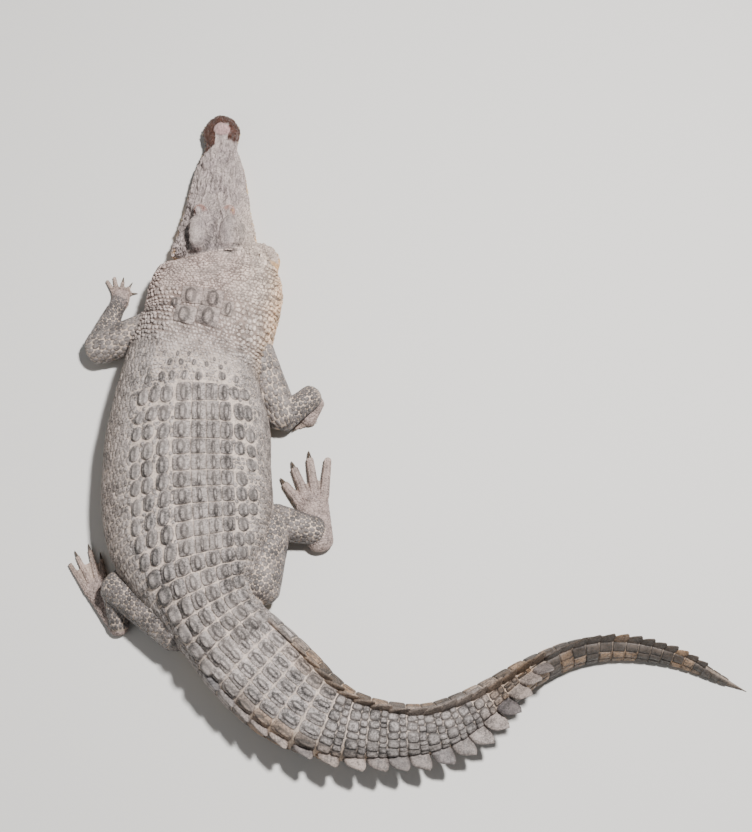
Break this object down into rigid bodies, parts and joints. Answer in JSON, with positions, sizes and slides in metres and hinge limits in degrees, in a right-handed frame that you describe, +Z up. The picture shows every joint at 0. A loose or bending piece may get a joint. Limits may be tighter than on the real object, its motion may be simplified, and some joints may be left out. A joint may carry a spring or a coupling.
{
  "type": "crocodile",
  "caption": "Life-size crocodile lying on its belly, head forward, legs spread and tail swept round to one side, as a still display model.",
  "frame": {"origin": "on the floor under the middle of the trunk, on the belly's flat underside", "axes": "+Z up, +Y towards the head, +X to the animal's right"},
  "size_m": [2.4431, 2.564, 0.3523],
  "materials": {
    "back_hide": "dry scaled hide, grey-taupe with tan seams, matt",
    "head_hide": "bony wrinkled hide, matt, darker and wetter on the snout",
    "limb_hide": "slate scaled hide with thin pale seams, slightly glossy",
    "claw_horn": "dark horn, half gloss",
    "eyeball": "wet amber eye with a slit pupil"
  },
  "bodies": {
    "root": {"claw_foot_left_1": "claw_horn", "claw_foot_left_2": "claw_horn", "claw_foot_left_3": "claw_horn", "claw_foot_right_1": "claw_horn", "claw_foot_right_2": "claw_horn", "claw_foot_right_3": "claw_horn", "claw_hand_left_1": "claw_horn", "claw_hand_left_2": "claw_horn", "claw_hand_left_3": "claw_horn", "claw_hand_right_1": "claw_horn", "claw_hand_right_2": "claw_horn", "claw_hand_right_3": "claw_horn", "eye_left": "eyeball", "eye_right": "eyeball", "foot_left": "limb_hide", "foot_right": "limb_hide", "forearm_left": "limb_hide", "forearm_right": "limb_hide", "hand_left": "limb_hide", "hand_right": "limb_hide", "head_upper": "head_hide", "jaw_lower": "head_hide", "neck": "back_hide", "shank_left": "limb_hide", "shank_right": "limb_hide", "tail_end": "back_hide", "tail_middle": "back_hide", "tail_rear": "back_hide", "tail_root": "back_hide", "thigh_left": "limb_hide", "thigh_right": "limb_hide", "trunk_front": "back_hide", "trunk_rear": "back_hide", "upper_arm_left": "limb_hide", "upper_arm_right": "limb_hide"}
  },
  "joints": []
}
